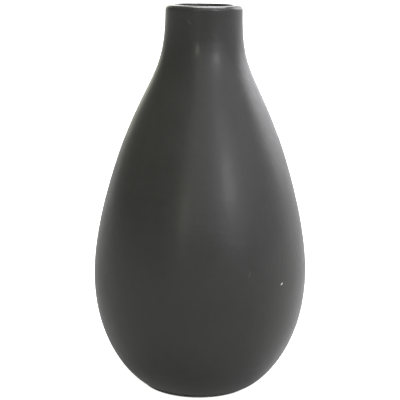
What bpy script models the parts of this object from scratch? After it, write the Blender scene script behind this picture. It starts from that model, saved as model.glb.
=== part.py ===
"""Stoneware bottle vase: a teardrop body with a short neck, glazed outside and inside.

Sizes are in metres and +Z is up. The origin is where the vase's axis meets the surface that it
stands on. The vase is one fired clay body, a glaze coat over its outside and lip, a liner glaze
inside, and felt dots under the foot ring.

Every wall surface follows one outline, the finished outside, at its own depth below it. So the
coats, the clay and the inside stay parallel when any size changes.
"""

import math

import bmesh
import bpy
from mathutils import Vector

# Finished outside, from the standing surface up
HEIGHT = 0.330
FOOT_RADIUS = 0.0516
BELLY_RADIUS = 0.0927
BELLY_HEIGHT = 0.0995
SHOULDER_RADIUS = 0.0658
SHOULDER_HEIGHT = 0.2190
LIP_RADIUS = 0.0327

# Directions of the outline, measured from the vertical
FOOT_FLARE = math.radians(56.2)
SHOULDER_LEAN = math.radians(21.7)

# How far each station pulls the outline, as a share of the way to the next station
FOOT_PULL_UP = 0.140
BELLY_PULL_DOWN = 0.571
BELLY_PULL_UP = 0.305
SHOULDER_PULL_DOWN = 0.235
SHOULDER_PULL_UP = 0.565
LIP_PULL_DOWN = 0.455

# Wall and coats
CLAY_WALL = 0.0058
GLAZE = 0.0005
GAP = 0.0003
COAT = GLAZE + GAP
WALL = COAT + CLAY_WALL + COAT
LIP_OUTER_ROUND = WALL / 2
LIP_INNER_ROUND = 0.0012

# Foot, floor and felt dots
PAD_RADIUS = 0.0045
PAD_THICKNESS = 0.0010
PAD_COUNT = 4
FOOT_PLANE = PAD_THICKNESS + GAP
BARE_EDGE = 0.0004
FOOT_RING_WIDTH = 0.0120
FOOT_RING_SLOPE = 0.0020
RECESS_DEPTH = 0.0025
BASE_THICKNESS = 0.0070
FLOOR_PLANE = FOOT_PLANE + RECESS_DEPTH + BASE_THICKNESS
FLOOR_RADIUS = 0.0360
FLOOR_ROUND = 0.0060
FLOOR_PULL = 0.40

# Fineness of the mesh
SEGMENTS = 48
LOWER_STEPS = 7
MIDDLE_STEPS = 6
UPPER_STEPS = 7
LIP_STEPS = 4
FLOOR_STEPS = 3
PAD_SEGMENTS = 20
MERGE = 0.000001
SHARP_ANGLE = math.radians(40.0)


def curve(start, start_way, start_pull, end, end_way, end_pull, steps):
    """Points and directions of a cubic curve between two stations.

    A way is the outline's direction at a station, and a pull is a share of the straight distance.
    """
    span = (end - start).length
    first = start + start_way * (start_pull * span)
    second = end - end_way * (end_pull * span)
    samples = []
    for step in range(steps + 1):
        t = step / steps
        u = 1.0 - t
        point = start * u**3 + first * (3 * u * u * t) + second * (3 * u * t * t) + end * t**3
        way = (first - start) * (u * u) + (second - first) * (2 * u * t) + (end - second) * (t * t)
        samples.append((point, way.normalized()))
    return samples


def outside():
    """The finished outside from the foot's edge to the lip's shoulder, as points and directions."""
    up = Vector((0.0, 1.0))
    foot = Vector((FOOT_RADIUS, FOOT_PLANE + BARE_EDGE))
    belly = Vector((BELLY_RADIUS, BELLY_HEIGHT))
    shoulder = Vector((SHOULDER_RADIUS, SHOULDER_HEIGHT))
    lip = Vector((LIP_RADIUS, HEIGHT - LIP_OUTER_ROUND))
    flare = Vector((math.sin(FOOT_FLARE), math.cos(FOOT_FLARE)))
    lean = Vector((-math.sin(SHOULDER_LEAN), math.cos(SHOULDER_LEAN)))
    lower = curve(foot, flare, FOOT_PULL_UP, belly, up, BELLY_PULL_DOWN, LOWER_STEPS)
    middle = curve(belly, up, BELLY_PULL_UP, shoulder, lean, SHOULDER_PULL_DOWN, MIDDLE_STEPS)
    upper = curve(shoulder, lean, SHOULDER_PULL_UP, lip, up, LIP_PULL_DOWN, UPPER_STEPS)
    return lower + middle[1:] + upper[1:]


def wall(depth):
    """The outline at a depth below the finished outside, from the foot up to the lip."""
    return [point + Vector((-way.y, way.x)) * depth for point, way in outside()]


def quarter(centre, radius, start):
    """Points on a quarter round, from a start angle in quarter turns."""
    points = []
    for step in range(LIP_STEPS + 1):
        angle = (start + step / LIP_STEPS) * math.pi / 2
        points.append(centre + Vector((math.cos(angle), math.sin(angle))) * radius)
    return points


def lip(depth):
    """The lip at a depth below its surface: a wide round outside, a flat, and a tight inner edge."""
    inner_wall = LIP_RADIUS - WALL
    outer = Vector((LIP_RADIUS - LIP_OUTER_ROUND, HEIGHT - LIP_OUTER_ROUND))
    inner = Vector((inner_wall + LIP_INNER_ROUND, HEIGHT - LIP_INNER_ROUND))
    points = quarter(outer, LIP_OUTER_ROUND - depth, 0)
    points += quarter(inner, LIP_INNER_ROUND - depth, 1)
    return points + [Vector((inner_wall + depth, outer.y))]


def inside(lift):
    """The inside from the middle of the floor up to the lip, lifted off the clay by a distance."""
    clay = wall(COAT + CLAY_WALL)
    start = next(i for i, point in enumerate(clay) if point.y > FLOOR_PLANE + FLOOR_ROUND)
    side = wall(COAT + CLAY_WALL + lift)[start:]
    floor = Vector((FLOOR_RADIUS, FLOOR_PLANE + lift))
    out = Vector((1.0, 0.0))
    turn = curve(floor, out, FLOOR_PULL, side[0], outside()[start][1], FLOOR_PULL, FLOOR_STEPS)
    return [Vector((0.0, floor.y))] + [point for point, way in turn] + side[1:]


def foot_ring_edge():
    """The radius where the bare clay, carried on down its own slope, meets the foot's plane."""
    clay = wall(COAT)[0]
    way = outside()[0][1]
    return clay.x - way.x * (clay.y - FOOT_PLANE) / way.y


def material(name, colour, roughness):
    """A plain finish for one piece."""
    finish = bpy.data.materials.new(name)
    finish.use_nodes = True
    shader = finish.node_tree.nodes["Principled BSDF"]
    shader.inputs["Base Color"].default_value = (*colour, 1.0)
    shader.inputs["Roughness"].default_value = roughness
    shader.inputs["Metallic"].default_value = 0.0
    return finish


def place(name, shape, finish):
    """Turn a bmesh into a named object with smooth round faces and crisp corners."""
    bmesh.ops.recalc_face_normals(shape, faces=shape.faces)
    mesh = bpy.data.meshes.new(name)
    shape.to_mesh(mesh)
    shape.free()
    mesh.materials.append(finish)
    mesh.shade_smooth()
    mesh.set_sharp_from_angle(angle=SHARP_ANGLE)
    piece = bpy.data.objects.new(name, mesh)
    bpy.context.scene.collection.objects.link(piece)
    return piece


def turned(name, outline, finish):
    """Spin an outline of (radius, height) points round the axis into one closed solid.

    An outline that starts on the axis also ends there. Any other one closes on itself.
    """
    shape = bmesh.new()
    line = [shape.verts.new((point.x, 0.0, point.y)) for point in outline]
    edges = [shape.edges.new(pair) for pair in zip(line, line[1:])]
    if outline[0].x > 0.0:
        edges.append(shape.edges.new((line[-1], line[0])))
    bmesh.ops.spin(
        shape,
        geom=line + edges,
        cent=(0.0, 0.0, 0.0),
        axis=(0.0, 0.0, 1.0),
        angle=2.0 * math.pi,
        steps=SEGMENTS,
        use_merge=True,
    )
    bmesh.ops.remove_doubles(shape, verts=shape.verts, dist=MERGE)
    return place(name, shape, finish)


def make_body():
    """The fired clay: foot ring, recessed base, wall, rounded lip and inside."""
    outer = wall(COAT)
    foot_edge = foot_ring_edge()
    ring_inner = foot_edge - FOOT_RING_WIDTH
    recess = FOOT_PLANE + RECESS_DEPTH
    base = [
        Vector((0.0, recess)),
        Vector((ring_inner - FOOT_RING_SLOPE, recess)),
        Vector((ring_inner, FOOT_PLANE)),
        Vector((foot_edge, FOOT_PLANE)),
    ]
    inner = inside(0.0)
    outline = base + outer[:-1] + lip(COAT) + list(reversed(inner[:-1]))
    finish = material("bare_stoneware", (0.44, 0.36, 0.28), 0.85)
    return turned("stoneware_body", outline, finish)


def make_outer_glaze():
    """The charcoal coat, from just above the foot, up the outside and over the lip."""
    face = wall(0.0)[:-1] + lip(0.0)
    back = wall(GLAZE)[:-1] + lip(GLAZE)
    finish = material("charcoal_glaze", (0.045, 0.045, 0.042), 0.42)
    return turned("outer_glaze", face + list(reversed(back)), finish)


def make_inner_glaze():
    """The liner glaze: the floor and the wall up to where the outer coat ends inside the lip."""
    face = inside(COAT)
    back = inside(GAP)
    face[-1] = face[-1] - Vector((0.0, GAP))
    back[-1] = back[-1] - Vector((0.0, GAP))
    finish = material("liner_glaze", (0.012, 0.012, 0.012), 0.12)
    return turned("inner_glaze", back + list(reversed(face)), finish)


def make_pads():
    """Felt dots, evenly spaced round the middle of the foot ring's flat face."""
    ring_middle = foot_ring_edge() - FOOT_RING_WIDTH / 2
    finish = material("felt", (0.02, 0.02, 0.02), 0.95)
    pads = []
    for number in range(PAD_COUNT):
        shape = bmesh.new()
        bmesh.ops.create_cone(
            shape,
            cap_ends=True,
            segments=PAD_SEGMENTS,
            radius1=PAD_RADIUS,
            radius2=PAD_RADIUS,
            depth=PAD_THICKNESS,
        )
        pad = place(f"felt_pad_{number + 1}", shape, finish)
        angle = 2.0 * math.pi * (number + 0.5) / PAD_COUNT
        pad.location = (
            ring_middle * math.cos(angle),
            ring_middle * math.sin(angle),
            PAD_THICKNESS / 2,
        )
        pads.append(pad)
    return pads


def main():
    for old in list(bpy.data.objects):
        bpy.data.objects.remove(old, do_unlink=True)
    make_body()
    make_outer_glaze()
    make_inner_glaze()
    make_pads()


main()
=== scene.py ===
# %% [markdown]
# # A charcoal stoneware bottle vase
#
# The real vase is one thrown and fired clay pot. It has a satin charcoal glaze outside, a glossy
# black liner glaze inside, and four felt dots under its foot so that it doesn't scratch a table.
# The design in CAD is faceted. Here each of its pieces is turned again as a smooth, slightly
# hand-made surface, and each finish is built from nodes.

# %% Load the frame and keep its box
import math

import bpy
import numpy as np
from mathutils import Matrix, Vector, noise


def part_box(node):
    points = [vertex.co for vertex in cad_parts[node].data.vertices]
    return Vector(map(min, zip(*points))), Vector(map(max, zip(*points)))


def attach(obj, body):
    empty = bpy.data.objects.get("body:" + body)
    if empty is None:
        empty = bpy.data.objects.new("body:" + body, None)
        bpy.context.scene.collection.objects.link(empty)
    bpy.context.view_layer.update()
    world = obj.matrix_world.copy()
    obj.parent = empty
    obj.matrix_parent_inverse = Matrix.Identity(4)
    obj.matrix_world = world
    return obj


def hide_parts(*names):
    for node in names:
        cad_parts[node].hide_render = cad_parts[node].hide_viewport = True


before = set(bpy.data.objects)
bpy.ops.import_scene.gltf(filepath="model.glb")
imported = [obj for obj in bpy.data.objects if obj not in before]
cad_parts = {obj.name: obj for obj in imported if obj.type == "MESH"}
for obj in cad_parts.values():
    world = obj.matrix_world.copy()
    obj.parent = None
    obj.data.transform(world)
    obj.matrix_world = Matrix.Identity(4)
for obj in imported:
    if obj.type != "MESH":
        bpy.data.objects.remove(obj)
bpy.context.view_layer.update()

print("CAD pieces:", ", ".join(sorted(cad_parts)))

# %% [markdown]
# ## Sizes
#
# Heights and the widest radius come from the frame, so the looks follow the design. The outline
# between them is set by three stations, the belly, the shoulder and the lip, and by how hard each
# one pulls the curve along its own direction. A potter would judge the same line by eye.

# %% Sizes taken from the frame and the outline's stations
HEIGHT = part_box("outer_glaze")[1][2]
BELLY_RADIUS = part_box("outer_glaze")[1][0]
GLAZE_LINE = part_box("outer_glaze")[0][2]
FOOT_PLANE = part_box("stoneware_body")[0][2]
FLOOR_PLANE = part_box("inner_glaze")[0][2]
PADS = [name for name in sorted(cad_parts) if name.startswith("felt_pad")]

FOOT_RADIUS = 0.0516
BELLY_HEIGHT = 0.0995
SHOULDER_RADIUS = 0.0658
SHOULDER_HEIGHT = 0.2190
LIP_RADIUS = 0.0327
FOOT_FLARE = math.radians(56.2)
SHOULDER_LEAN = math.radians(21.7)
FOOT_PULL_UP = 0.140
BELLY_PULL_DOWN = 0.571
BELLY_PULL_UP = 0.305
SHOULDER_PULL_DOWN = 0.235
SHOULDER_PULL_UP = 0.565
LIP_PULL_DOWN = 0.455

COAT = 0.0008
CLAY_WALL = 0.0058
WALL = COAT + CLAY_WALL + COAT
LIP_OUTER_ROUND = WALL / 2
LIP_INNER_ROUND = 0.0012
TOUCH = 0.00003
print(f"height {HEIGHT * 1000:.1f} mm, belly {BELLY_RADIUS * 2000:.1f} mm across")

# %% [markdown]
# ## One outline for every surface
#
# The outside, the back of each glaze coat, the clay and the inside all follow the same line at
# their own depth below it. So the outline is made once, as points with directions, and each
# surface is that line moved inwards. This is how a wall keeps an even thickness.

# %% The outline and its offsets
def curve(start, start_way, start_pull, end, end_way, end_pull, steps):
    """Points and directions of a cubic curve between two stations."""
    start, end = np.array(start), np.array(end)
    span = np.linalg.norm(end - start)
    first = start + np.array(start_way) * start_pull * span
    second = end - np.array(end_way) * end_pull * span
    t = np.linspace(0.0, 1.0, steps + 1)[:, None]
    u = 1.0 - t
    points = start * u**3 + first * 3 * u * u * t + second * 3 * u * t * t + end * t**3
    ways = (first - start) * u * u + (second - first) * 2 * u * t + (end - second) * t * t
    return points, ways / np.linalg.norm(ways, axis=1)[:, None]


def outside(fineness):
    """The finished outside from the foot to the lip's shoulder, with its directions."""
    up = (0.0, 1.0)
    flare = (math.sin(FOOT_FLARE), math.cos(FOOT_FLARE))
    lean = (-math.sin(SHOULDER_LEAN), math.cos(SHOULDER_LEAN))
    foot = (FOOT_RADIUS, GLAZE_LINE)
    belly = (BELLY_RADIUS, BELLY_HEIGHT)
    shoulder = (SHOULDER_RADIUS, SHOULDER_HEIGHT)
    lip_top = (LIP_RADIUS, HEIGHT - LIP_OUTER_ROUND)
    parts = [
        curve(foot, flare, FOOT_PULL_UP, belly, up, BELLY_PULL_DOWN, 4 * fineness),
        curve(belly, up, BELLY_PULL_UP, shoulder, lean, SHOULDER_PULL_DOWN, 4 * fineness),
        curve(shoulder, lean, SHOULDER_PULL_UP, lip_top, up, LIP_PULL_DOWN, 4 * fineness),
    ]
    points = np.vstack([parts[0][0], parts[1][0][1:], parts[2][0][1:]])
    ways = np.vstack([parts[0][1], parts[1][1][1:], parts[2][1][1:]])
    return points, ways


def wall(depth, fineness):
    """The outline moved inwards by a depth."""
    points, ways = outside(fineness)
    return points + np.stack([-ways[:, 1], ways[:, 0]], axis=1) * depth


def arc(centre, radius, start, end, steps):
    """Points on a round corner, between two angles in degrees."""
    angles = np.radians(np.linspace(start, end, steps + 1))
    return np.array(centre) + radius * np.stack([np.cos(angles), np.sin(angles)], axis=1)


def lip(depth, steps):
    """The lip: a wide round outside, a flat top, and a tight edge into the mouth."""
    inner_wall = LIP_RADIUS - WALL
    outer = (LIP_RADIUS - LIP_OUTER_ROUND, HEIGHT - LIP_OUTER_ROUND)
    inner = (inner_wall + LIP_INNER_ROUND, HEIGHT - LIP_INNER_ROUND)
    flat = [(radius, HEIGHT - depth) for radius in np.linspace(outer[0], inner[0], 4)[1:-1]]
    down = [(inner_wall + depth, height) for height in np.linspace(inner[1], outer[1], 3)[1:]]
    return np.vstack([
        arc(outer, LIP_OUTER_ROUND - depth, 0, 90, steps),
        flat,
        arc(inner, LIP_INNER_ROUND - depth, 90, 180, steps),
        down,
    ])


print(f"outline of {len(outside(12)[0])} points at the fineness of the outside")

# %% [markdown]
# ## Turning an outline into a pot
#
# A pot is its outline swept round the axis, as on a wheel. Blender's Screw modifier or Spin tool
# does this too. Writing the rings directly keeps every face a clean quad and lets the next step
# move each vertex by where it is.
#
# A thrown pot is never a perfect sweep. The hand leaves soft hollows a few centimetres wide and
# a faint spiral ridge. They are a tenth or two of a millimetre deep: too small to see as a shape,
# but enough to bend a long highlight. All surfaces move together, so no coat cuts another.

# %% Turning and hand-made unevenness
AROUND = 192
HOLLOW_DEPTH = 0.00022
HOLLOW_SIZE = 0.045
FINER_HOLLOWS = 2.7
FINER_SHARE = 0.22
RIDGE_DEPTH = 0.00003
RIDGE_PITCH = 0.0085
STILL_ABOVE_FOOT = 0.012
LIP_WOBBLE = 0.00018
WOBBLE_REACH = 0.03
WOBBLES_AROUND = 1.4


def hand_depth(x, y, z):
    """How far the potter's hand has left the wall inside its perfect circle, at a place."""
    spot = Vector((x, y, z)) / HOLLOW_SIZE
    hollow = 0.5 + 0.5 * noise.noise(spot) + FINER_SHARE * noise.noise(spot * FINER_HOLLOWS)
    turn = math.atan2(y, x) / (2.0 * math.pi)
    ridge = 0.5 + 0.5 * math.sin(2.0 * math.pi * (z / RIDGE_PITCH + turn))
    fade = min(1.0, max(0.0, (z - FOOT_PLANE) / STILL_ABOVE_FOOT))
    return fade * (HOLLOW_DEPTH * hollow + RIDGE_DEPTH * ridge)


def lip_drop(x, y, z):
    """How far the rim has sunk below its highest point, fading out down the neck."""
    fade = min(1.0, max(0.0, (z - HEIGHT + WOBBLE_REACH) / WOBBLE_REACH))
    around = Vector((x, y, 0.0)).normalized() * WOBBLES_AROUND
    return fade * LIP_WOBBLE * (0.5 + 0.5 * noise.noise(around))


def turned(name, outline, by_hand=True):
    """Sweep an outline of (radius, height) round the axis into one closed mesh.

    An outline that starts on the axis ends on it too. Any other one closes on itself.
    """
    outline = np.array(outline)
    solid = outline[0, 0] == 0.0
    rings = outline[1:-1] if solid else outline
    angles = 2.0 * math.pi * np.arange(AROUND) / AROUND
    points = []
    for radius, height in rings:
        for angle in angles:
            points.append((radius * math.cos(angle), radius * math.sin(angle), height))
    if by_hand:
        points = [shaped_by_hand(*point) for point in points]
    count = len(rings)
    faces = []
    for ring in range(count - 1 if solid else count):
        low = ring * AROUND
        top = (ring + 1) % count * AROUND
        for i in range(AROUND):
            j = (i + 1) % AROUND
            faces.append((low + i, low + j, top + j, top + i))
    if solid:
        first, last = len(points), len(points) + 1
        points += [(0.0, 0.0, outline[0, 1]), (0.0, 0.0, outline[-1, 1])]
        end = (count - 1) * AROUND
        for i in range(AROUND):
            j = (i + 1) % AROUND
            faces.append((first, j, i))
            faces.append((last, end + i, end + j))
    return mesh_object(name, points, faces)


def shaped_by_hand(x, y, z):
    """A wall's point moved in by the hand's unevenness and down by the rim's wobble."""
    radius = math.hypot(x, y)
    share = (radius - hand_depth(x, y, z)) / radius
    return (x * share, y * share, z - lip_drop(x, y, z))


def mesh_object(name, points, faces):
    """A smooth-shaded object with its faces looking out."""
    mesh = bpy.data.meshes.new(name)
    mesh.from_pydata([tuple(point) for point in points], [], faces)
    mesh.validate()
    mesh.shade_smooth()
    piece = bpy.data.objects.new(name, mesh)
    bpy.context.scene.collection.objects.link(piece)
    print(f"{name}: {len(mesh.vertices)} points, {len(mesh.polygons)} faces")
    return piece


# %% [markdown]
# ## The charcoal coat
#
# The outer glaze is a skin half a millimetre thick that runs from just above the foot, up the
# outside and over the lip. It is modelled as a real skin with a front and a back. At its lower
# edge the glaze gathers into a soft bead and its line wanders a little, because it was wiped off
# the foot by hand before firing.

# %% The charcoal coat
BEAD_STEPS = 6
LINE_WANDER = 0.00045
LINE_REACH = 0.004
BROAD_WAVES = 3.0
FINE_WAVES = 11.0
FINE_WAVE_SHARE = 0.2


def glaze_line_rise(x, y, z):
    """How far the wiped lower edge has risen at a place, fading out up the wall."""
    fade = min(1.0, max(0.0, 1.0 - (z - GLAZE_LINE) / LINE_REACH))
    around = Vector((x, y, 0.0)).normalized()
    wander = 0.5 + 0.5 * noise.noise(around * BROAD_WAVES)
    wander += FINE_WAVE_SHARE * noise.noise(around * FINE_WAVES)
    return fade * fade * LINE_WANDER * wander


def make_charcoal_coat():
    face = wall(0.0, 12)
    back = wall(COAT - TOUCH, 6)
    away = (face[0] - back[0]) / np.linalg.norm(face[0] - back[0])
    angle = math.degrees(math.atan2(away[1], away[0]))
    middle = (face[0] + back[0]) / 2
    radius = np.linalg.norm(face[0] - back[0]) / 2
    bead = arc(middle, radius, angle - 180, angle, BEAD_STEPS)
    outline = np.vstack([
        bead[1:-1],
        face[:-1],
        lip(0.0, 12),
        lip(COAT - TOUCH, 6)[::-1],
        back[:-1][::-1],
    ])
    piece = turned("charcoal_coat", outline)
    for vertex in piece.data.vertices:
        vertex.co.z += glaze_line_rise(*vertex.co)
    return piece


charcoal_coat = make_charcoal_coat()

# %% [markdown]
# ## The liner
#
# The inside is glazed so that it holds water. The liner starts under the lip and covers the wall
# and the floor, which meets the wall in a wide soft turn, as clay does over a potter's knuckles.

# %% The liner
FLOOR_RADIUS = 0.0360
FLOOR_JOIN = 0.0060
FLOOR_PULL = 0.40
LINER_GAP = 0.0003


def inside(lift, fineness):
    """The inside from the middle of the floor to the lip, lifted off the clay by a distance."""
    clay_floor = FLOOR_PLANE - LINER_GAP
    clay = wall(COAT + CLAY_WALL, fineness)
    start = int(np.argmax(clay[:, 1] > clay_floor + FLOOR_JOIN))
    side = wall(COAT + CLAY_WALL + lift, fineness)[start:]
    way = outside(fineness)[1][start]
    floor = (FLOOR_RADIUS, clay_floor + lift)
    turn = curve(floor, (1.0, 0.0), FLOOR_PULL, side[0], way, FLOOR_PULL, 10)[0]
    flat = [(share * FLOOR_RADIUS, floor[1]) for share in (0.0, 0.15, 0.4, 0.7)]
    return np.vstack([flat, turn, side[1:]])


def make_liner():
    face = inside(COAT, 10)
    back = inside(TOUCH, 6)
    face[-1, 1] -= LINER_GAP
    back[-1, 1] -= LINER_GAP
    return turned("black_liner", np.vstack([back, face[::-1]]))


black_liner = make_liner()

# %% [markdown]
# ## The clay
#
# Under the coats is the fired clay itself. It only shows at the foot: a flat standing ring, a
# shallow recess turned out with a loop tool, and the narrow bevel where the glaze was wiped off.
# The recess keeps the tool's rings, and every corner is softened with a sponge.

# %% The clay
RING_WIDTH = 0.0120
RING_SLOPE = 0.0020
RECESS_DEPTH = 0.0025
CORNER = 0.0006
TOOL_MARK = 0.00009
TOOL_PITCH = 0.0028


def softened(corners, radius, steps):
    """A line of corners with each inner corner replaced by a short curve."""
    corners = [np.array(corner) for corner in corners]
    line = [corners[0]]
    for before, corner, after in zip(corners, corners[1:], corners[2:]):
        back = (before - corner) / np.linalg.norm(before - corner)
        ahead = (after - corner) / np.linalg.norm(after - corner)
        for t in np.linspace(0.0, 1.0, steps + 1):
            start, end = corner + back * radius, corner + ahead * radius
            line.append(start * (1 - t) ** 2 + corner * 2 * t * (1 - t) + end * t * t)
    return np.array(line + [corners[-1]])


def make_clay():
    outer = wall(COAT, 8)
    way = outside(8)[1][0]
    drop = (outer[0, 1] - FOOT_PLANE) / way[1]
    foot_edge = outer[0] - way * drop
    recess = FOOT_PLANE + RECESS_DEPTH
    ring_inner = foot_edge[0] - RING_WIDTH
    turned_face = []
    reach = ring_inner - RING_SLOPE - CORNER
    for radius in np.arange(0.0, reach, TOOL_PITCH / 8):
        mark = TOOL_MARK * (0.5 - 0.5 * math.cos(2.0 * math.pi * radius / TOOL_PITCH))
        turned_face.append((radius, recess + mark))
    ring = softened(
        [
            (reach, recess),
            (ring_inner - RING_SLOPE, recess),
            (ring_inner, FOOT_PLANE),
            tuple(foot_edge),
            tuple(outer[0]),
        ],
        CORNER,
        5,
    )
    inner = inside(0.0, 8)
    outline = np.vstack([turned_face, ring, outer[1:-1], lip(COAT, 8), inner[::-1][1:]])
    return turned("clay_pot", outline)


clay_pot = make_clay()

# %% [markdown]
# ## The felt dots
#
# Each dot is a disc punched from pressed felt. A punch rounds the lower edge a little and leaves
# the rim slightly ragged, so the disc is turned with soft corners and its rim is pushed in and
# out by noise. The glue film is too thin to model, so the dot reaches up to the clay.

# %% The felt dots
FELT_AROUND = 72
FELT_RAGGED = 0.00016
FELT_CORNER = 0.00035
FRAY_AROUND = 9.0
FRAY_UP = 900.0
FRAY_APART = 31.0


def make_felt_dot(node, number):
    low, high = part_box(node)
    centre = Vector(((low[0] + high[0]) / 2, (low[1] + high[1]) / 2, 0.0))
    radius = (high[0] - low[0]) / 2 - FELT_RAGGED
    top = FOOT_PLANE - TOUCH
    corners = [(0.0, 0.0), (radius, 0.0), (radius, top), (0.0, top)]
    line = softened(corners, FELT_CORNER, 6)
    spread = [(share * radius, line[0, 1]) for share in (0.2, 0.4, 0.6, 0.8)]
    cover = [(share * radius, top) for share in (0.8, 0.5, 0.2)]
    outline = np.vstack([line[:1], spread, line[1:-1], cover, line[-1:]])
    points, faces = [], []
    for ring_radius, height in outline[1:-1]:
        for i in range(FELT_AROUND):
            angle = 2.0 * math.pi * i / FELT_AROUND
            place = Vector((math.cos(angle), math.sin(angle), 0.0))
            level = Vector((0.0, 0.0, FRAY_APART * number + height * FRAY_UP))
            ragged = noise.noise(place * FRAY_AROUND + level)
            reach = ring_radius * (1.0 + ragged * FELT_RAGGED / radius)
            points.append(tuple(centre + place * reach + Vector((0.0, 0.0, height))))
    count = len(outline) - 2
    for ring in range(count - 1):
        for i in range(FELT_AROUND):
            j = (i + 1) % FELT_AROUND
            here, there = ring * FELT_AROUND, (ring + 1) * FELT_AROUND
            faces.append((here + i, here + j, there + j, there + i))
    bottom, cap = len(points), len(points) + 1
    points += [tuple(centre), tuple(centre + Vector((0.0, 0.0, top)))]
    end = (count - 1) * FELT_AROUND
    for i in range(FELT_AROUND):
        j = (i + 1) % FELT_AROUND
        faces.append((bottom, j, i))
        faces.append((cap, end + i, end + j))
    return mesh_object(f"felt_dot_{number}", points, faces)


felt_dots = [make_felt_dot(node, number + 1) for number, node in enumerate(PADS)]

# %% [markdown]
# ## Node helpers
#
# The effects that several finishes share are node groups. A group has named inputs, so one
# mottle serves the glaze, the liner and the clay with different sizes and strengths.

# %% Node helpers
def new_group(name, inputs, outputs):
    """An empty node group with its named sockets, and its own input and output nodes."""
    tree = bpy.data.node_groups.new(name, "ShaderNodeTree")
    for label, kind, value in inputs:
        socket = tree.interface.new_socket(label, in_out="INPUT", socket_type=kind)
        socket.default_value = value
    for label, kind in outputs:
        tree.interface.new_socket(label, in_out="OUTPUT", socket_type=kind)
    start = tree.nodes.new("NodeGroupInput")
    end = tree.nodes.new("NodeGroupOutput")
    start.location, end.location = (-900, 0), (700, 0)
    return tree, start.outputs, end.inputs


def put(tree, kind, values=None, **settings):
    """Add a node. A value that is another node's output is linked, any other one is set."""
    made = tree.nodes.new(kind)
    for name, setting in settings.items():
        setattr(made, name, setting)
    for label, value in (values or {}).items():
        if isinstance(value, bpy.types.NodeSocket):
            tree.links.new(value, made.inputs[label])
        else:
            made.inputs[label].default_value = value
    return made


def maths(tree, operation, first, second=0.0, third=0.0):
    """One Math node's result."""
    values = {0: first, 1: second}
    if operation == "MULTIPLY_ADD":
        values[2] = third
    return put(tree, "ShaderNodeMath", values, operation=operation).outputs[0]


def ramp(tree, value, low, high, start=0.0, end=1.0):
    """A value smoothly mapped from one range to another."""
    values = {"Value": value, "From Min": low, "From Max": high, "To Min": start, "To Max": end}
    return put(tree, "ShaderNodeMapRange", values, interpolation_type="SMOOTHSTEP").outputs[0]


def blend_colours(tree, share, first, second):
    """Two colours mixed by a share."""
    made = put(tree, "ShaderNodeMix", data_type="RGBA")
    for index, value in ((0, share), (6, first), (7, second)):
        if isinstance(value, bpy.types.NodeSocket):
            tree.links.new(value, made.inputs[index])
        else:
            made.inputs[index].default_value = value
    return made.outputs[2]


def use_group(tree, group, **values):
    """Place a group, with underscores in the argument names standing for spaces."""
    labels = {label.replace("_", " "): value for label, value in values.items()}
    return put(tree, "ShaderNodeGroup", labels, node_tree=group).outputs


# %% [markdown]
# ## Shared effects
#
# - **Mottle**: soft cloudy patches, where glaze pooled or the kiln was hotter.
# - **Grain**: the fine orange-peel of a satin glaze, or the sand in bare clay, with pinholes.
# - **Band**: a wandering belt at one height, for thin glaze on the lip, painted shade at the
#   foot.
# - **Specks**: scattered dots, from iron in the clay or dust in the kiln.
# - **Rings**: fine tool lines left by turning.
# - **Mark**: one small scuff or chip at a chosen place on the surface.

# %% Mottle
MOTTLE_FINER = 4.3
MOTTLE_BROAD_SHARE = 0.65
MOTTLE_FINER_SHARE = 0.35


def make_mottle():
    tree, given, result = new_group(
        "Mottle",
        [
            ("Vector", "NodeSocketVector", (0.0, 0.0, 0.0)),
            ("Scale", "NodeSocketFloat", 40.0),
            ("Spread", "NodeSocketFloat", 0.2),
        ],
        [("Mask", "NodeSocketFloat")],
    )
    broad = put(tree, "ShaderNodeTexNoise", {
        "Vector": given["Vector"], "Scale": given["Scale"], "Detail": 3.0, "Roughness": 0.55})
    finer = put(tree, "ShaderNodeTexNoise", {
        "Vector": given["Vector"],
        "Scale": maths(tree, "MULTIPLY", given["Scale"], MOTTLE_FINER),
        "Detail": 4.0,
    })
    both = maths(tree, "MULTIPLY_ADD", finer.outputs[0], MOTTLE_FINER_SHARE,
                 maths(tree, "MULTIPLY", broad.outputs[0], MOTTLE_BROAD_SHARE))
    low = maths(tree, "SUBTRACT", 0.5, given["Spread"])
    high = maths(tree, "ADD", 0.5, given["Spread"])
    tree.links.new(ramp(tree, both, low, high), result["Mask"])
    return tree


MOTTLE = make_mottle()
print("node group", MOTTLE.name)

# %% Grain
def make_grain():
    tree, given, result = new_group(
        "Grain",
        [
            ("Vector", "NodeSocketVector", (0.0, 0.0, 0.0)),
            ("Scale", "NodeSocketFloat", 900.0),
            ("Pinholes", "NodeSocketFloat", 0.3),
        ],
        [("Height", "NodeSocketFloat")],
    )
    peel = put(tree, "ShaderNodeTexNoise", {
        "Vector": given["Vector"], "Scale": given["Scale"], "Detail": 2.0, "Roughness": 0.5})
    cells = put(tree, "ShaderNodeTexVoronoi", {
        "Vector": given["Vector"], "Scale": maths(tree, "MULTIPLY", given["Scale"], 0.35)})
    chosen = maths(tree, "LESS_THAN", cells.outputs["Color"], given["Pinholes"])
    hole = maths(tree, "MULTIPLY", ramp(tree, cells.outputs["Distance"], 0.05, 0.2, 1.0, 0.0),
                 chosen)
    height = maths(tree, "SUBTRACT", peel.outputs[0], hole)
    tree.links.new(height, result["Height"])
    return tree


GRAIN = make_grain()
print("node group", GRAIN.name)

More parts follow.
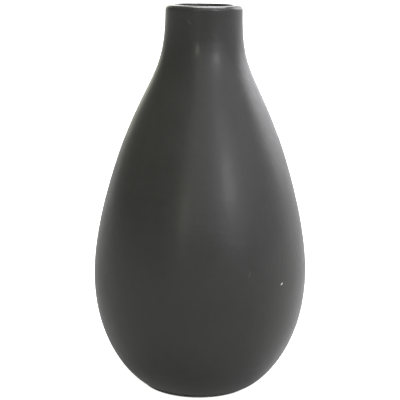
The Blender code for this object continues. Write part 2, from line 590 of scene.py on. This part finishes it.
# %% Band
def make_band():
    tree, given, result = new_group(
        "Band",
        [
            ("Vector", "NodeSocketVector", (0.0, 0.0, 0.0)),
            ("Height", "NodeSocketFloat", 0.0),
            ("Width", "NodeSocketFloat", 0.005),
            ("Wander", "NodeSocketFloat", 0.001),
        ],
        [("Mask", "NodeSocketFloat")],
    )
    cloud = put(tree, "ShaderNodeTexNoise", {
        "Vector": given["Vector"], "Scale": 130.0, "Detail": 3.0})
    sway = maths(tree, "MULTIPLY", maths(tree, "SUBTRACT", cloud.outputs[0], 0.5),
                 given["Wander"])
    place = put(tree, "ShaderNodeSeparateXYZ", {"Vector": given["Vector"]}).outputs["Z"]
    away = maths(tree, "ABSOLUTE", maths(
        tree, "SUBTRACT", maths(tree, "ADD", place, sway), given["Height"]))
    tree.links.new(ramp(tree, away, 0.0, given["Width"], 1.0, 0.0), result["Mask"])
    return tree


BAND = make_band()
print("node group", BAND.name)

# %% Specks
def make_specks():
    tree, given, result = new_group(
        "Specks",
        [
            ("Vector", "NodeSocketVector", (0.0, 0.0, 0.0)),
            ("Scale", "NodeSocketFloat", 200.0),
            ("Share", "NodeSocketFloat", 0.1),
            ("Size", "NodeSocketFloat", 0.2),
        ],
        [("Mask", "NodeSocketFloat")],
    )
    cells = put(tree, "ShaderNodeTexVoronoi", {
        "Vector": given["Vector"], "Scale": given["Scale"]})
    chosen = maths(tree, "LESS_THAN", cells.outputs["Color"], given["Share"])
    edge = maths(tree, "MULTIPLY", given["Size"], 0.6)
    dot = ramp(tree, cells.outputs["Distance"], edge, given["Size"], 1.0, 0.0)
    tree.links.new(maths(tree, "MULTIPLY", dot, chosen), result["Mask"])
    return tree


SPECKS = make_specks()
print("node group", SPECKS.name)

# %% Rings
def make_rings():
    tree, given, result = new_group(
        "Rings",
        [
            ("Vector", "NodeSocketVector", (0.0, 0.0, 0.0)),
            ("Pitch", "NodeSocketFloat", 0.001),
            ("Up The Wall", "NodeSocketFloat", 1.0),
            ("Across The Base", "NodeSocketFloat", 0.0),
        ],
        [("Height", "NodeSocketFloat")],
    )
    place = put(tree, "ShaderNodeSeparateXYZ", {"Vector": given["Vector"]}).outputs
    squared = maths(tree, "MULTIPLY_ADD", place["X"], place["X"],
                    maths(tree, "MULTIPLY", place["Y"], place["Y"]))
    radius = maths(tree, "SQRT", squared)
    along = maths(tree, "MULTIPLY_ADD", place["Z"], given["Up The Wall"],
                  maths(tree, "MULTIPLY", radius, given["Across The Base"]))
    turns = maths(tree, "DIVIDE", along, given["Pitch"])
    line = put(tree, "ShaderNodeTexNoise", {"W": turns, "Scale": 1.0, "Detail": 2.0},
               noise_dimensions="1D")
    tree.links.new(line.outputs[0], result["Height"])
    return tree


RINGS = make_rings()
print("node group", RINGS.name)

# %% Mark
MARK_CORE = 0.16
MARK_EDGE = 0.30
CRUMBLE_SCALE = 1500.0


def make_mark():
    tree, given, result = new_group(
        "Mark",
        [
            ("Vector", "NodeSocketVector", (0.0, 0.0, 0.0)),
            ("Place", "NodeSocketVector", (0.0, 0.0, 0.0)),
            ("Direction", "NodeSocketVector", (0.0, 0.0, 1.0)),
            ("Length", "NodeSocketFloat", 0.002),
            ("Width", "NodeSocketFloat", 0.001),
            ("Ragged", "NodeSocketFloat", 0.3),
        ],
        [("Mask", "NodeSocketFloat")],
    )
    away = put(tree, "ShaderNodeVectorMath", {0: given["Vector"], 1: given["Place"]},
               operation="SUBTRACT").outputs[0]
    along = put(tree, "ShaderNodeVectorMath", {0: away, 1: given["Direction"]},
                operation="DOT_PRODUCT").outputs["Value"]
    full = put(tree, "ShaderNodeVectorMath", {0: away, 1: away},
               operation="DOT_PRODUCT").outputs["Value"]
    across = maths(tree, "SUBTRACT", full, maths(tree, "MULTIPLY", along, along))
    long_part = maths(tree, "POWER", maths(tree, "DIVIDE", along, given["Length"]), 2.0)
    wide_part = maths(tree, "DIVIDE", across, maths(tree, "POWER", given["Width"], 2.0))
    crumble = put(tree, "ShaderNodeTexNoise", {
        "Vector": given["Vector"], "Scale": CRUMBLE_SCALE, "Detail": 2.0}).outputs[0]
    reach = maths(tree, "MULTIPLY_ADD", maths(tree, "SUBTRACT", crumble, 0.5),
                  given["Ragged"], maths(tree, "ADD", long_part, wide_part))
    tree.links.new(ramp(tree, reach, MARK_CORE, MARK_EDGE, 1.0, 0.0), result["Mask"])
    return tree


MARK = make_mark()
print("node groups:", ", ".join(group.name for group in bpy.data.node_groups))

# %% [markdown]
# ## Starting a finish
#
# Every finish here is one Principled shader. What stays the same all over is set on the shader's
# own sockets, and what wanders is worked out from object coordinates, so the pattern sits on the
# vase itself. A fine height goes through one Bump node, which bends the light without any new
# faces.

# %% A new finish
def new_finish(name, **constants):
    """A material with one Principled shader, plain values on its sockets, and object space."""
    finish = bpy.data.materials.new(name)
    finish.use_nodes = True
    tree = finish.node_tree
    shader = tree.nodes["Principled BSDF"]
    for label, value in constants.items():
        shader.inputs[label.replace("_", " ")].default_value = value
    where = tree.nodes.new("ShaderNodeTexCoord").outputs["Object"]
    return finish, tree, shader.inputs, where


def set_bump(tree, sockets, height, distance):
    """Feed a height through one Bump node to the shader's normal."""
    bump = put(tree, "ShaderNodeBump", {
        "Height": height, "Distance": distance, "Strength": 1.0})
    tree.links.new(bump.outputs["Normal"], sockets["Normal"])


# %% [markdown]
# ## The satin charcoal glaze
#
# A satin glaze is a dark body colour under a fine crystalline surface. Light from a lamp spreads
# into a soft patch, so the roughness is about a third, and the patch is uneven because the glaze
# lies in slow ripples and its roughness wanders with the mottle. On the lip the glaze is thinner
# and glossier. Just above the foot a narrow band of the colour is darkened, a painted shade where
# the pot meets the table. One pale fleck sits low on the right, where a crumb of kiln dust stuck
# to the glaze, and a few faint scuffs came from handling.

# %% Marks on the charcoal glaze
FLECK = {"turn": 47.1, "radius": 0.0925, "height": 0.1066, "tilt": 64.0,
         "length": 0.0030, "width": 0.0014, "ragged": 0.35}
SCUFFS = [
    {"turn": 26.2, "radius": 0.0912, "height": 0.1210, "tilt": 12.0,
     "length": 0.0080, "width": 0.0016, "ragged": 0.9},
    {"turn": 66.0, "radius": 0.0427, "height": 0.2708, "tilt": 60.0,
     "length": 0.0070, "width": 0.0012, "ragged": 0.8},
    {"turn": -21.7, "radius": 0.0327, "height": 0.3172, "tilt": -50.0,
     "length": 0.0060, "width": 0.0022, "ragged": 0.9},
    {"turn": -7.4, "radius": 0.0347, "height": 0.2959, "tilt": 5.0,
     "length": 0.0110, "width": 0.0034, "ragged": 1.2},
    {"turn": 152.0, "radius": 0.0905, "height": 0.0800, "tilt": 70.0,
     "length": 0.0140, "width": 0.0014, "ragged": 0.9},
]


def place_mark(tree, where, mark):
    """One small mark's mask. Its turn counts from the front to the right, tilt from upright."""
    turn, tilt = math.radians(mark["turn"]), math.radians(mark["tilt"])
    place = (mark["radius"] * math.sin(turn), -mark["radius"] * math.cos(turn), mark["height"])
    along = (math.cos(turn) * math.sin(tilt), math.sin(turn) * math.sin(tilt), math.cos(tilt))
    return use_group(
        tree, MARK, Vector=where, Place=place, Direction=along, Length=mark["length"],
        Width=mark["width"], Ragged=mark["ragged"])["Mask"]


print(len(SCUFFS), "scuffs and one fleck")

# %% The satin charcoal glaze
CHARCOAL_DEEP = (0.0325, 0.0322, 0.0307, 1.0)
CHARCOAL_PALE = (0.0397, 0.0394, 0.0376, 1.0)
CHARCOAL_FINE = (0.045, 0.045, 0.043, 1.0)
DUST_GREY = (0.085, 0.083, 0.078, 1.0)
LIP_BROWN = (0.050, 0.048, 0.044, 1.0)
# Colour of the painted shade in a narrow band just above the foot.
FOOT_SHADE_PAINT = (0.020, 0.018, 0.016, 1.0)
SCUFF_GREY = (0.110, 0.110, 0.105, 1.0)
FLECK_WHITE = (0.780, 0.770, 0.730, 1.0)
SATIN_ROUGHNESS = 0.315
CLOUD_ROUGHENS = 0.05
LIP_SMOOTHS = -0.13
SCUFF_SMOOTHS = -0.08
THIN_GLOSS = 0.17
CLOUD_DULLS = -0.08
LIP_SHINES = 0.45
RING_RISE = 0.5
RIPPLE_RISE = 9.0
SCUFF_RISE = -1.5
FLECK_RISE = 6.0
GLAZE_BUMP = 0.00002


def make_charcoal_glaze():
    finish, tree, sockets, where = new_finish(
        "satin_charcoal_glaze", IOR=1.5, Coat_Roughness=0.15)
    cloud = use_group(tree, MOTTLE, Vector=where, Scale=26.0, Spread=0.16)["Mask"]
    fine_cloud = use_group(tree, MOTTLE, Vector=where, Scale=170.0, Spread=0.22)["Mask"]
    thin_lip = use_group(
        tree, BAND, Vector=where, Height=HEIGHT, Width=0.0045, Wander=0.001)["Mask"]
    # Painted shade: a narrow band just above the glaze line, where the pot meets the table.
    foot_painted_shade = use_group(
        tree, BAND, Vector=where, Height=GLAZE_LINE, Width=0.0030, Wander=0.0016)["Mask"]
    dust = use_group(tree, SPECKS, Vector=where, Scale=420.0, Share=0.06, Size=0.22)["Mask"]
    fleck = place_mark(tree, where, FLECK)
    scuff = 0.0
    for mark in SCUFFS:
        scuff = maths(tree, "MAXIMUM", place_mark(tree, where, mark), scuff)

    colour = blend_colours(tree, cloud, CHARCOAL_DEEP, CHARCOAL_PALE)
    for share, strength, paint in (
        (fine_cloud, 0.25, CHARCOAL_FINE),
        (dust, 0.35, DUST_GREY),
        (thin_lip, 0.30, LIP_BROWN),
        # painted shade along the foot
        (foot_painted_shade, 0.60, FOOT_SHADE_PAINT),
        (scuff, 0.30, SCUFF_GREY),
        (fleck, 1.00, FLECK_WHITE),
    ):
        colour = blend_colours(tree, maths(tree, "MULTIPLY", share, strength), colour, paint)
    tree.links.new(colour, sockets["Base Color"])

    rough = maths(tree, "MULTIPLY_ADD", cloud, CLOUD_ROUGHENS, SATIN_ROUGHNESS)
    rough = maths(tree, "MULTIPLY_ADD", fine_cloud, CLOUD_ROUGHENS, rough)
    rough = maths(tree, "MULTIPLY_ADD", thin_lip, LIP_SMOOTHS, rough)
    rough = maths(tree, "MULTIPLY_ADD", scuff, SCUFF_SMOOTHS, rough)
    tree.links.new(rough, sockets["Roughness"])
    gloss = maths(tree, "MULTIPLY_ADD", cloud, CLOUD_DULLS, THIN_GLOSS)
    gloss = maths(tree, "MULTIPLY_ADD", thin_lip, LIP_SHINES, gloss)
    tree.links.new(gloss, sockets["Coat Weight"])

    grain = use_group(tree, GRAIN, Vector=where, Scale=1100.0, Pinholes=0.002)["Height"]
    rings = use_group(
        tree, RINGS, Vector=where, Pitch=0.0011, Up_The_Wall=1.0, Across_The_Base=0.0)["Height"]
    ripple = use_group(tree, MOTTLE, Vector=where, Scale=62.0, Spread=0.5)["Mask"]
    height = maths(tree, "MULTIPLY_ADD", rings, RING_RISE, grain)
    height = maths(tree, "MULTIPLY_ADD", ripple, RIPPLE_RISE, height)
    height = maths(tree, "MULTIPLY_ADD", scuff, SCUFF_RISE, height)
    height = maths(tree, "MULTIPLY_ADD", fleck, FLECK_RISE, height)
    set_bump(tree, sockets, height, GLAZE_BUMP)
    return finish


charcoal_glaze = make_charcoal_glaze()
print(charcoal_glaze.name, "has", len(charcoal_glaze.node_tree.nodes), "nodes")

# %% [markdown]
# ## The black liner glaze
#
# The liner is a glossy glaze. It reads almost black because little light reaches the inside. It
# runs a little down the wall, so its colour and gloss wander slowly.

# %% The black liner glaze
LINER_BLACK = (0.010, 0.010, 0.010, 1.0)
LINER_BROWN = (0.020, 0.018, 0.016, 1.0)
LINER_BUMP = 0.00005


def make_liner_glaze():
    finish, tree, sockets, where = new_finish("black_liner_glaze", IOR=1.52)
    cloud = use_group(tree, MOTTLE, Vector=where, Scale=35.0, Spread=0.2)["Mask"]
    colour = blend_colours(tree, cloud, LINER_BLACK, LINER_BROWN)
    tree.links.new(colour, sockets["Base Color"])
    tree.links.new(maths(tree, "MULTIPLY_ADD", cloud, 0.08, 0.10), sockets["Roughness"])
    grain = use_group(tree, GRAIN, Vector=where, Scale=320.0, Pinholes=0.02)["Height"]
    rings = use_group(
        tree, RINGS, Vector=where, Pitch=0.004, Up_The_Wall=1.0, Across_The_Base=1.0)["Height"]
    set_bump(tree, sockets, maths(tree, "MULTIPLY_ADD", rings, 2.0, grain), LINER_BUMP)
    return finish


liner_glaze = make_liner_glaze()
print(liner_glaze.name, "has", len(liner_glaze.node_tree.nodes), "nodes")

# %% [markdown]
# ## The bare stoneware
#
# Fired stoneware without glaze is a warm buff grey, dry to the touch, with dark iron specks and
# grog. The standing ring is polished a little and darkened by use.

# %% The bare stoneware
CLAY_DARK = (0.30, 0.245, 0.19, 1.0)
CLAY_PALE = (0.42, 0.35, 0.275, 1.0)
GROG_CREAM = (0.58, 0.52, 0.44, 1.0)
IRON_BROWN = (0.07, 0.045, 0.03, 1.0)
WORN_BROWN = (0.16, 0.13, 0.10, 1.0)
CLAY_BUMP = 0.00009


def make_bare_stoneware():
    finish, tree, sockets, where = new_finish("bare_stoneware", IOR=1.45)
    cloud = use_group(tree, MOTTLE, Vector=where, Scale=60.0, Spread=0.2)["Mask"]
    iron = use_group(tree, SPECKS, Vector=where, Scale=520.0, Share=0.12, Size=0.3)["Mask"]
    grog = use_group(tree, SPECKS, Vector=where, Scale=900.0, Share=0.16, Size=0.35)["Mask"]
    worn = use_group(
        tree, BAND, Vector=where, Height=FOOT_PLANE, Width=0.0007, Wander=0.0006)["Mask"]
    colour = blend_colours(tree, cloud, CLAY_DARK, CLAY_PALE)
    for share, strength, paint in (
        (grog, 0.5, GROG_CREAM),
        (iron, 0.8, IRON_BROWN),
        (worn, 0.35, WORN_BROWN),
    ):
        colour = blend_colours(tree, maths(tree, "MULTIPLY", share, strength), colour, paint)
    tree.links.new(colour, sockets["Base Color"])
    tree.links.new(maths(tree, "MULTIPLY_ADD", worn, -0.22, 0.88), sockets["Roughness"])
    grain = use_group(tree, GRAIN, Vector=where, Scale=1600.0, Pinholes=0.22)["Height"]
    rings = use_group(
        tree, RINGS, Vector=where, Pitch=0.0006, Up_The_Wall=0.0, Across_The_Base=1.0)["Height"]
    set_bump(tree, sockets, maths(tree, "MULTIPLY_ADD", rings, 0.8, grain), CLAY_BUMP)
    return finish


bare_stoneware = make_bare_stoneware()
print(bare_stoneware.name, "has", len(bare_stoneware.node_tree.nodes), "nodes")

# %% [markdown]
# ## The felt
#
# Pressed felt is a mat of fine fibres lying every way. Stretched noise in two directions gives
# the fibres, and a soft sheen gives the fuzz that catches light at the edge.

# %% The felt
FELT_DARK = (0.012, 0.012, 0.012, 1.0)
FELT_LIGHT = (0.035, 0.034, 0.033, 1.0)
LINT_GREY = (0.16, 0.15, 0.14, 1.0)
FELT_BUMP = 0.00012


def make_felt():
    finish, tree, sockets, where = new_finish(
        "pressed_felt", Roughness=0.95, Sheen_Weight=0.6, Sheen_Roughness=0.5,
        Specular_IOR_Level=0.2)
    fibres = []
    for stretch in ((1.0, 7.0, 3.0), (6.0, 1.0, 3.0)):
        mapped = put(tree, "ShaderNodeMapping", {"Vector": where, "Scale": stretch}).outputs[0]
        fibres.append(put(tree, "ShaderNodeTexNoise", {
            "Vector": mapped, "Scale": 900.0, "Detail": 3.0, "Distortion": 1.2}).outputs[0])
    mat = maths(tree, "MAXIMUM", fibres[0], fibres[1])
    lint = use_group(tree, SPECKS, Vector=where, Scale=1300.0, Share=0.06, Size=0.3)["Mask"]
    share = ramp(tree, mat, 0.45, 0.75)
    colour = blend_colours(tree, share, FELT_DARK, FELT_LIGHT)
    colour = blend_colours(tree, maths(tree, "MULTIPLY", lint, 0.5), colour, LINT_GREY)
    tree.links.new(colour, sockets["Base Color"])
    set_bump(tree, sockets, mat, FELT_BUMP)
    return finish


felt = make_felt()
print(felt.name, "has", len(felt.node_tree.nodes), "nodes")

# %% [markdown]
# ## Dressing the pieces
#
# Each piece gets its finish, stands for the CAD node it was made from, and rides on the vase's
# one body.

# %% Dressing the pieces
def dress(piece, finish, node):
    piece.data.materials.append(finish)
    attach(piece, "root")
    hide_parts(node)


dress(charcoal_coat, charcoal_glaze, "outer_glaze")
dress(black_liner, liner_glaze, "inner_glaze")
dress(clay_pot, bare_stoneware, "stoneware_body")
for dot, node in zip(felt_dots, PADS):
    dress(dot, felt, node)
print("dressed", len(felt_dots) + 3, "pieces")

# %% [markdown]
# ## The studio
#
# A plain white table under soft light. A satin glaze shows its lamps as soft patches, so the
# lamps are drawn straight into the sky as round glows, each with a direction, a size and a
# brightness. Glows in the sky light the table evenly out to the horizon, which a lamp standing
# near the vase can't do. To the camera the sky itself is plain white.

# %% The soft lamps
SKY = 0.19
SKY_SEEN = 1.2
LEFT_TINT = (1.0, 1.03, 0.87, 1.0)
RIGHT_TINT = (0.99, 0.98, 1.01, 1.0)
TINT_FROM, TINT_TO = -0.35, 0.05


def make_glow():
    """A node group that is bright towards one direction and fades out round it."""
    tree, given, result = new_group(
        "Glow",
        [
            ("Direction", "NodeSocketVector", (0.0, 0.0, 1.0)),
            ("Toward", "NodeSocketVector", (0.0, 0.0, 1.0)),
            ("Edge Cosine", "NodeSocketFloat", 0.9),
            ("Core Cosine", "NodeSocketFloat", 0.95),
            ("Brightness", "NodeSocketFloat", 1.0),
        ],
        [("Light", "NodeSocketFloat")],
    )
    along = put(tree, "ShaderNodeVectorMath", {0: given["Direction"], 1: given["Toward"]},
                operation="DOT_PRODUCT").outputs["Value"]
    light = ramp(tree, along, given["Edge Cosine"], given["Core Cosine"], 0.0,
                 given["Brightness"])
    tree.links.new(light, result["Light"])
    return tree


def toward(turn, rise):
    """A direction, with the turn counted from the camera's side towards the right."""
    turn, rise = math.radians(turn), math.radians(rise)
    return (math.sin(turn) * math.cos(rise), -math.cos(turn) * math.cos(rise), math.sin(rise))


# Each lamp: turn, rise, core and edge in degrees, then brightness.
GLOWS = {
    "window": (37, 22, 1, 10, 4.6),
    "window_skirt": (38, 22, 3, 25, 0.75),
    "side_panel": (128, 24, 6, 26, 2.7),
    "side_panel_foot": (150, 0, 4, 20, 0.9),
    "front_left_edge": (-19, 15, 2, 8, 2.6),
    "upper_front": (7, 35, 20, 28, 0.84),
    "upper_right": (56, 34, 20, 30, 0.62),
    "right_wall": (100, 5, 25, 60, 0.44),
    "left_wall": (-162, 12, 12, 32, 0.44),
    "left_fill": (-62, 30, 20, 50, 0.08),
    "back_wall": (180, 0, 16, 38, 1.5),
    "overhead": (150, 74, 17, 27, 6.5),
}


def make_sky():
    world = bpy.data.worlds.new("studio_sky")
    world.use_nodes = True
    tree = world.node_tree
    glow = make_glow()
    direction = tree.nodes.new("ShaderNodeTexCoord").outputs["Generated"]
    light = SKY
    for turn, rise, core, edge, brightness in GLOWS.values():
        lamp = use_group(
            tree, glow, Direction=direction, Toward=toward(turn, rise),
            Edge_Cosine=math.cos(math.radians(edge)),
            Core_Cosine=math.cos(math.radians(core)), Brightness=brightness)["Light"]
        light = maths(tree, "ADD", lamp, light)
    seen = put(tree, "ShaderNodeLightPath").outputs["Is Camera Ray"]
    strength = put(tree, "ShaderNodeMix", data_type="FLOAT")
    tree.links.new(seen, strength.inputs[0])
    tree.links.new(light, strength.inputs[2])
    strength.inputs[3].default_value = SKY_SEEN
    background = tree.nodes["Background"]
    tree.links.new(strength.outputs[0], background.inputs["Strength"])
    side = put(tree, "ShaderNodeSeparateXYZ", {"Vector": direction}).outputs["X"]
    tint = blend_colours(tree, ramp(tree, side, TINT_FROM, TINT_TO), LEFT_TINT, RIGHT_TINT)
    tree.links.new(tint, background.inputs["Color"])
    bpy.context.scene.world = world
    print(len(GLOWS), "soft lamps in the sky")


make_sky()

# %% [markdown]
# ## The table
#
# The table is white paper with a glow painted into it, everywhere but in a disc of painted shadow
# under the foot. The disc sits a millimetre to the front and left, where the lamps behind and on
# the right would push a real shadow. Its edge shows as a thin dark line where the pot stands on
# the paper. To the camera the paper is white. To the glaze it is darker, as grey card laid round
# the vase would be, which keeps the lower belly dark. Its painted glow is brighter on the lamps'
# side, towards the back and the right.

# %% The table
FLOOR_SIZE = 40.0
PAPER_SEEN = 0.92
PAPER_BOUNCE = 0.23
GLOW_SEEN = 0.90
# Painted light: the paper's glow as the glaze sees it, dim at the front and bright at the back
# right.
GLOW_FRONT = 0.22
GLOW_BACK = 0.68
# The disc of painted shadow under the foot, set off towards the front and left.
SHADE_CENTRE = (-0.0010, -0.0012, 0.0)
SHADE_RADIUS = 0.0483
SHADE_EDGE = 0.0006
SOFT_EDGE = 0.0040
WINDOW_SIDE = (0.6, 0.8, 0.0)


def make_floor():
    half = FLOOR_SIZE / 2
    corners = [(-half, -half, 0.0), (half, -half, 0.0), (half, half, 0.0), (-half, half, 0.0)]
    floor = mesh_object("studio_floor", corners, [(0, 1, 2, 3)])
    finish, tree, sockets, where = new_finish("pale_paper", Roughness=0.7)
    sockets["Specular IOR Level"].default_value = 0.0
    sockets["Emission Color"].default_value = (1.0, 1.0, 1.0, 1.0)
    seen = put(tree, "ShaderNodeLightPath").outputs["Is Camera Ray"]
    bounce, paper = (PAPER_BOUNCE,) * 3 + (1.0,), (PAPER_SEEN,) * 3 + (1.0,)
    tree.links.new(blend_colours(tree, seen, bounce, paper), sockets["Base Color"])
    away = put(tree, "ShaderNodeVectorMath", {0: where, 1: SHADE_CENTRE},
               operation="DISTANCE").outputs["Value"]
    way = put(tree, "ShaderNodeVectorMath", {0: where}, operation="NORMALIZE").outputs[0]
    side = put(tree, "ShaderNodeVectorMath", {0: way, 1: WINDOW_SIDE},
               operation="DOT_PRODUCT").outputs["Value"]
    # Painted light for the glaze: the glow is brighter on the lamps' side, at the back and right.
    painted_glow_to_glaze = ramp(tree, side, -0.2, 1.0, GLOW_FRONT, GLOW_BACK)
    # Painted shadow for the glaze: no glow in the disc under the foot, with a soft edge.
    lit = ramp(tree, away, SHADE_RADIUS, SHADE_RADIUS + SOFT_EDGE)
    painted_glow_to_glaze = maths(tree, "MULTIPLY", painted_glow_to_glaze, lit)
    # Painted shadow for the camera: a sharp-edged disc without glow under the foot.
    to_camera = ramp(tree, away, SHADE_RADIUS, SHADE_RADIUS + SHADE_EDGE, 0.0, GLOW_SEEN)
    strength = put(tree, "ShaderNodeMix", data_type="FLOAT")
    for index, value in ((0, seen), (2, painted_glow_to_glaze), (3, to_camera)):
        tree.links.new(value, strength.inputs[index])
    tree.links.new(strength.outputs[0], sockets["Emission Strength"])
    floor.data.materials.append(finish)


make_floor()

# %% [markdown]
# ## The camera
#
# A portrait lens a little under a metre from the vase and a few centimetres above its lip, tilted
# down. From there the mouth is a thin ellipse and the foot a rounder one.

# %% The camera
CAMERA_DISTANCE = 2.9 * HEIGHT
CAMERA_HEIGHT = 1.14 * HEIGHT
AIM_HEIGHT = 0.4923 * HEIGHT
AIM_SIDE = -0.0009
ROLL = math.radians(0.91)
SENSOR_WIDTH = 36.0
FOCAL_LENGTH = 101.6

lens = bpy.data.cameras.new("portrait")
lens.sensor_width = SENSOR_WIDTH
lens.lens = FOCAL_LENGTH
camera = bpy.data.objects.new("portrait", lens)
camera.location = (AIM_SIDE, -CAMERA_DISTANCE, CAMERA_HEIGHT)
look = camera.location - Vector((AIM_SIDE, 0.0, AIM_HEIGHT))
camera.rotation_euler = look.to_track_quat("Z", "Y").to_euler()
camera.rotation_euler.rotate_axis("Z", ROLL)
bpy.context.scene.collection.objects.link(camera)
bpy.context.scene.camera = camera
bpy.context.scene.view_settings.view_transform = "Standard"
print(f"camera {CAMERA_DISTANCE:.3f} m away, {CAMERA_HEIGHT:.3f} m up")
